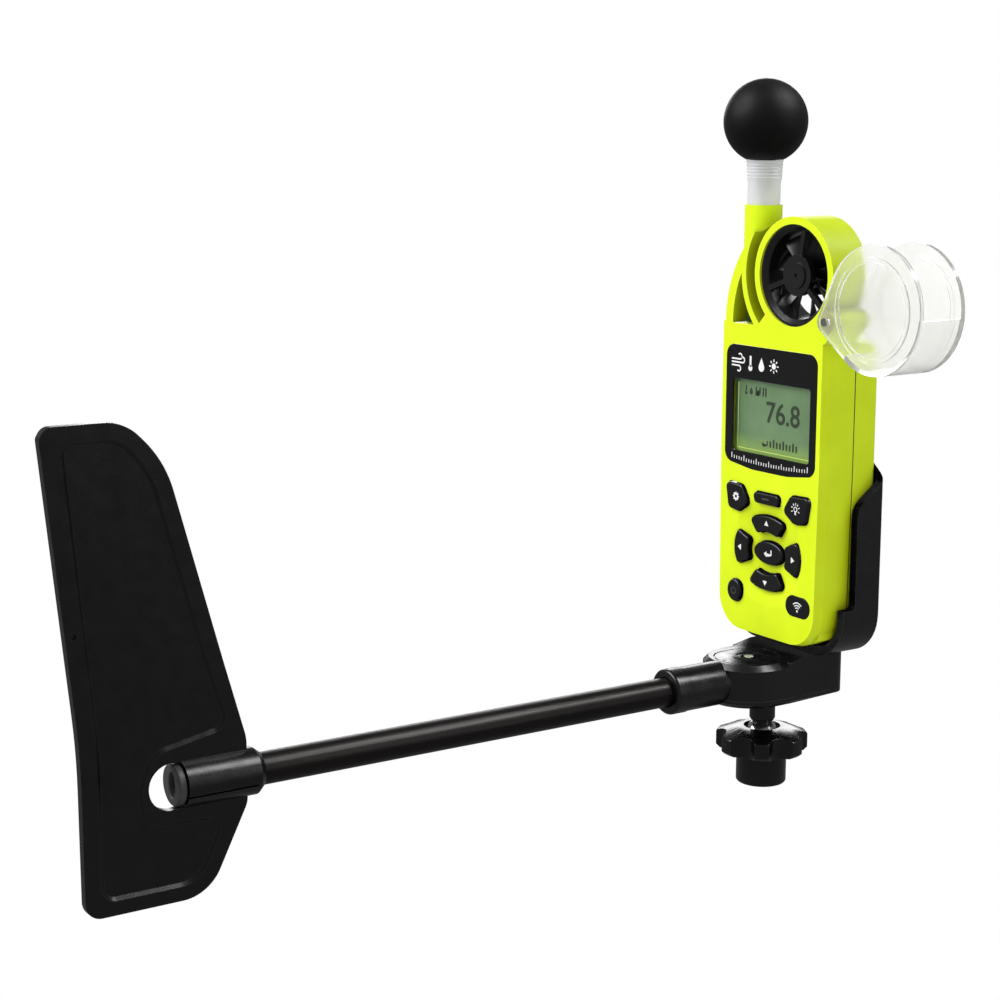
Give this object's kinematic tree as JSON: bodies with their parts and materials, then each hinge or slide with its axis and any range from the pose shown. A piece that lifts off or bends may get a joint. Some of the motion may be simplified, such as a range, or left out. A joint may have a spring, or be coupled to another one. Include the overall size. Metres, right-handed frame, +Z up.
{
  "type": "handheld weather meter",
  "caption": "Handheld weather meter with impeller, flip cover and black globe sensor, standing in the cradle of a swivelling wind-vane mount with boom, fin and tripod ball joint.",
  "frame": {"origin": "on the swivel axis of the vane mount, at the mouth of the tripod thread in the bottom face of the hub", "axes": "+Z up along the swivel axis; the front of the meter, the boom and the fin point along -Y; +X is the right side of the meter seen from its front"},
  "size_m": [0.0882, 0.2513, 0.2111],
  "materials": {
    "black_abs": "moulded black glass-filled nylon, fine texture",
    "board_green": "solder-masked circuit board",
    "boom_alloy": "dark bronze anodised aluminium tube",
    "brass": "turned brass",
    "cell_jacket": "plain battery cell jacket",
    "chip_black": "moulded chip packages",
    "clear_pc": "clear moulded polycarbonate",
    "frosted_pc": "lightly frosted polycarbonate tube",
    "globe_black": "matte black coated thin copper globe",
    "gloss_black": "glossy black printed polycarbonate",
    "hi_vis_abs": "moulded high-visibility yellow-green ABS, satin",
    "impeller_black": "thin moulded black impeller plastic",
    "jewel": "synthetic sapphire bearing",
    "key_rubber": "matte black silicone keys",
    "lcd": "grey-green reflective liquid crystal panel",
    "nylon_white": "natural nylon",
    "seal_rubber": "soft black elastomer",
    "steel": "polished stainless steel"
  },
  "bodies": {
    "tripod_hub": {"tripod_hub": "black_abs", "tripod_insert": "brass"},
    "clamp_knob": {"clamp_knob": "black_abs"},
    "ball_liner": {"ball_liner": "nylon_white"},
    "ball_stud": {"ball_stud": "steel", "stem_sleeve": "black_abs", "retaining_clip": "steel", "bearing_inner_rings": "steel", "bearing_spacer": "brass"},
    "vane_mount": {"arm_housing": "black_abs", "arm_base": "black_abs", "bearing_outer_rings": "steel", "bearing_balls": "steel", "cradle_screws": "steel", "level_cup": "black_abs", "level_vial": "clear_pc", "boom_socket": "black_abs", "boom_tube": "boom_alloy", "boom_plug": "black_abs", "vane_fin": "black_abs", "cradle": "black_abs"},
    "meter": {"front_shell": "hi_vis_abs", "rear_shell": "hi_vis_abs", "case_gasket": "seal_rubber", "display_bezel": "gloss_black", "display_window": "clear_pc", "lcd_panel": "lcd", "circuit_board": "board_green", "board_chips": "chip_black", "keypad_mat": "key_rubber", "battery_cells": "cell_jacket", "battery_contacts": "steel", "battery_door": "hi_vis_abs", "door_screw": "steel", "case_screws": "steel", "radio_badge": "gloss_black", "impeller_ring_front": "impeller_black", "impeller_ring_rear": "impeller_black", "jewel_bearings": "jewel", "cover_pin": "steel", "neck_tube": "frosted_pc", "globe": "globe_black", "globe_spigot": "black_abs", "globe_probe": "steel", "sensor_board": "board_green", "temperature_bead": "steel", "humidity_sensor": "nylon_white"},
    "impeller": {"impeller": "impeller_black", "impeller_axle": "steel"},
    "flip_cover": {"flip_cover": "clear_pc"},
    "settings_key": {"settings_key": "key_rubber"},
    "capture_key": {"capture_key": "key_rubber"},
    "backlight_key": {"backlight_key": "key_rubber"},
    "up_key": {"up_key": "key_rubber"},
    "left_key": {"left_key": "key_rubber"},
    "enter_key": {"enter_key": "key_rubber"},
    "right_key": {"right_key": "key_rubber"},
    "down_key": {"down_key": "key_rubber"},
    "power_key": {"power_key": "key_rubber"}
  },
  "joints": [
    {"name": "knob_turn", "type": "hinge", "parent": "tripod_hub", "child": "clamp_knob", "pos_m": [0, 0, 0.012], "axis": [0, 0, 1], "range_deg": [0, 180]},
    {"name": "ball_side_tilt", "type": "hinge", "parent": "tripod_hub", "child": "ball_liner", "pos_m": [0, 0, 0.015], "axis": [0, 1, 0], "range_deg": [-12, 12]},
    {"name": "ball_fore_tilt", "type": "hinge", "parent": "ball_liner", "child": "ball_stud", "pos_m": [0, 0, 0.015], "axis": [1, 0, 0], "range_deg": [-12, 12]},
    {"name": "vane_spin", "type": "hinge", "parent": "ball_stud", "child": "vane_mount", "pos_m": [0, 0, 0.033], "axis": [0, 0, 1], "continuous": true},
    {"name": "meter_release", "type": "slide", "parent": "vane_mount", "child": "meter", "axis": [0, 0, 1], "range_m": [0, 0.055]},
    {"name": "impeller_spin", "type": "hinge", "parent": "meter", "child": "impeller", "pos_m": [0.0086, 0.0066, 0.1547], "axis": [0, 1, 0], "continuous": true},
    {"name": "cover_swing", "type": "hinge", "parent": "meter", "child": "flip_cover", "pos_m": [0.0246, 0.0066, 0.1426], "axis": [0, -1, 0], "range_deg": [0, 129]},
    {"name": "settings_press", "type": "slide", "parent": "meter", "child": "settings_key", "axis": [0, 1, 0], "range_m": [0, 0.0005], "stiffness_N_per_m": 1500, "springref_m": -0.0002},
    {"name": "capture_press", "type": "slide", "parent": "meter", "child": "capture_key", "axis": [0, 1, 0], "range_m": [0, 0.0005], "stiffness_N_per_m": 1500, "springref_m": -0.0002},
    {"name": "backlight_press", "type": "slide", "parent": "meter", "child": "backlight_key", "axis": [0, 1, 0], "range_m": [0, 0.0005], "stiffness_N_per_m": 1500, "springref_m": -0.0002},
    {"name": "up_press", "type": "slide", "parent": "meter", "child": "up_key", "axis": [0, 1, 0], "range_m": [0, 0.0005], "stiffness_N_per_m": 1500, "springref_m": -0.0002},
    {"name": "left_press", "type": "slide", "parent": "meter", "child": "left_key", "axis": [0, 1, 0], "range_m": [0, 0.0005], "stiffness_N_per_m": 1500, "springref_m": -0.0002},
    {"name": "enter_press", "type": "slide", "parent": "meter", "child": "enter_key", "axis": [0, 1, 0], "range_m": [0, 0.0005], "stiffness_N_per_m": 1500, "springref_m": -0.0002},
    {"name": "right_press", "type": "slide", "parent": "meter", "child": "right_key", "axis": [0, 1, 0], "range_m": [0, 0.0005], "stiffness_N_per_m": 1500, "springref_m": -0.0002},
    {"name": "down_press", "type": "slide", "parent": "meter", "child": "down_key", "axis": [0, 1, 0], "range_m": [0, 0.0005], "stiffness_N_per_m": 1500, "springref_m": -0.0002},
    {"name": "power_press", "type": "slide", "parent": "meter", "child": "power_key", "axis": [0, 1, 0], "range_m": [0, 0.0005], "stiffness_N_per_m": 1500, "springref_m": -0.0002}
  ]
}
